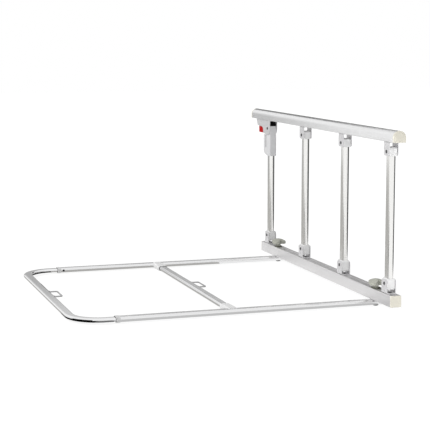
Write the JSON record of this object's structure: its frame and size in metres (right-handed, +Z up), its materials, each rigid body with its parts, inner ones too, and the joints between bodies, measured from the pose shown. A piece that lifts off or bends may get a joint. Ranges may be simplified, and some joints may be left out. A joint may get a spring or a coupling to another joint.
{
  "type": "folding bed guard rail",
  "caption": "Folding bed guard rail: hinged posts between a square bottom bar and a D-section handrail, an end latch, and a telescoping tube frame that lies under the mattress.",
  "frame": {"origin": "middle of the part's footprint, at the height of its lowest point, which is the underside of the clamp bolt heads", "axes": "+X from the mattress side to the outside of the bed, +Y along the rail to its latch end, +Z up"},
  "size_m": [0.8374, 1.06, 0.4673],
  "materials": {
    "brushed_aluminium": "brushed and clear anodised",
    "silver_sheet": "satin, silver coated",
    "chromed_steel": "polished",
    "zinc_steel": "dark zinc plated",
    "white_plastic": "fine moulded grain",
    "ivory_plastic": "fine moulded grain",
    "grey_plastic": "fine moulded grain",
    "black_plastic": "fine moulded grain",
    "red_plastic": "smooth"
  },
  "bodies": {
    "base": {"bottom_bar": "brushed_aluminium", "bottom_bar_cap_near": "ivory_plastic", "bottom_bar_cap_far": "ivory_plastic", "foot_bracket_1": "silver_sheet", "foot_bracket_2": "silver_sheet", "foot_bracket_3": "silver_sheet", "foot_bracket_4": "silver_sheet", "foot_pin_1": "zinc_steel", "foot_pin_2": "zinc_steel", "foot_pin_3": "zinc_steel", "foot_pin_4": "zinc_steel", "side_tube_near": "chromed_steel", "side_tube_far": "chromed_steel", "side_tube_plug_near": "white_plastic", "side_tube_plug_far": "white_plastic", "tube_collar_near": "white_plastic", "tube_collar_far": "white_plastic", "clamp_bolt_near": "zinc_steel", "clamp_bolt_far": "zinc_steel", "lock_screw_near": "zinc_steel", "lock_screw_far": "zinc_steel", "cross_bar": "chromed_steel", "cross_bar_socket_near": "white_plastic", "cross_bar_socket_far": "white_plastic", "strap_loop_middle": "chromed_steel"},
    "post_1": {"post_tube_1": "brushed_aluminium", "foot_plug_1": "white_plastic", "latch_housing": "silver_sheet", "latch_cam": "black_plastic"},
    "post_2": {"post_tube_2": "brushed_aluminium", "foot_plug_2": "white_plastic", "head_plug_2": "white_plastic"},
    "post_3": {"post_tube_3": "brushed_aluminium", "foot_plug_3": "white_plastic", "head_plug_3": "white_plastic"},
    "post_4": {"post_tube_4": "brushed_aluminium", "foot_plug_4": "white_plastic", "head_plug_4": "white_plastic"},
    "handrail_body": {"handrail": "brushed_aluminium", "handrail_cap_near": "ivory_plastic", "handrail_cap_far": "ivory_plastic", "latch_bracket": "silver_sheet", "head_bracket_2": "silver_sheet", "head_bracket_3": "silver_sheet", "head_bracket_4": "silver_sheet", "head_pin_1": "zinc_steel", "head_pin_2": "zinc_steel", "head_pin_3": "zinc_steel", "head_pin_4": "zinc_steel", "trigger_pin": "silver_sheet", "trigger_spring": "zinc_steel"},
    "trigger": {"release_trigger": "red_plastic"},
    "knob_near": {"clamp_knob_near": "grey_plastic"},
    "knob_far": {"clamp_knob_far": "grey_plastic"},
    "end_frame": {"end_tube": "chromed_steel", "strap_loop_end": "chromed_steel"}
  },
  "joints": [
    {"name": "post_1_foot", "type": "hinge", "parent": "base", "child": "post_1", "pos_m": [0.39734, 0.3915, 0.0733], "axis": [-1, 0, 0], "range_deg": [0, 75]},
    {"name": "post_2_foot", "type": "hinge", "parent": "base", "child": "post_2", "pos_m": [0.39734, 0.1015, 0.0733], "axis": [-1, 0, 0], "range_deg": [0, 75]},
    {"name": "post_3_foot", "type": "hinge", "parent": "base", "child": "post_3", "pos_m": [0.39734, -0.1885, 0.0733], "axis": [-1, 0, 0], "range_deg": [0, 75]},
    {"name": "post_4_foot", "type": "hinge", "parent": "base", "child": "post_4", "pos_m": [0.39734, -0.4785, 0.0733], "axis": [-1, 0, 0], "range_deg": [0, 75]},
    {"name": "post_1_head", "type": "hinge", "parent": "post_1", "child": "handrail_body", "pos_m": [0.39734, 0.3915, 0.4118], "axis": [-1, 0, 0], "range_deg": [-75, 0]},
    {"name": "trigger_rock", "type": "hinge", "parent": "handrail_body", "child": "trigger", "pos_m": [0.39734, 0.4595, 0.4238], "axis": [-1, 0, 0], "range_deg": [0, 6], "stiffness_Nm_per_rad": 0.3, "springref_deg": -11.46, "deforming": ["trigger_spring"]},
    {"name": "knob_near_turn", "type": "hinge", "parent": "base", "child": "knob_near", "pos_m": [0.39514, -0.405, 0.0476], "axis": [0, 0, 1], "continuous": true},
    {"name": "knob_far_turn", "type": "hinge", "parent": "base", "child": "knob_far", "pos_m": [0.39514, 0.318, 0.0476], "axis": [0, 0, 1], "continuous": true},
    {"name": "end_frame_slide", "type": "slide", "parent": "base", "child": "end_frame", "axis": [-1, 0, 0], "range_m": [-0.015, 0.1]}
  ],
  "couplings": [
    {"joint": "post_2_foot", "follows": "post_1_foot", "ratio": 1},
    {"joint": "post_3_foot", "follows": "post_1_foot", "ratio": 1},
    {"joint": "post_4_foot", "follows": "post_1_foot", "ratio": 1},
    {"joint": "post_1_head", "follows": "post_1_foot", "ratio": -1}
  ]
}
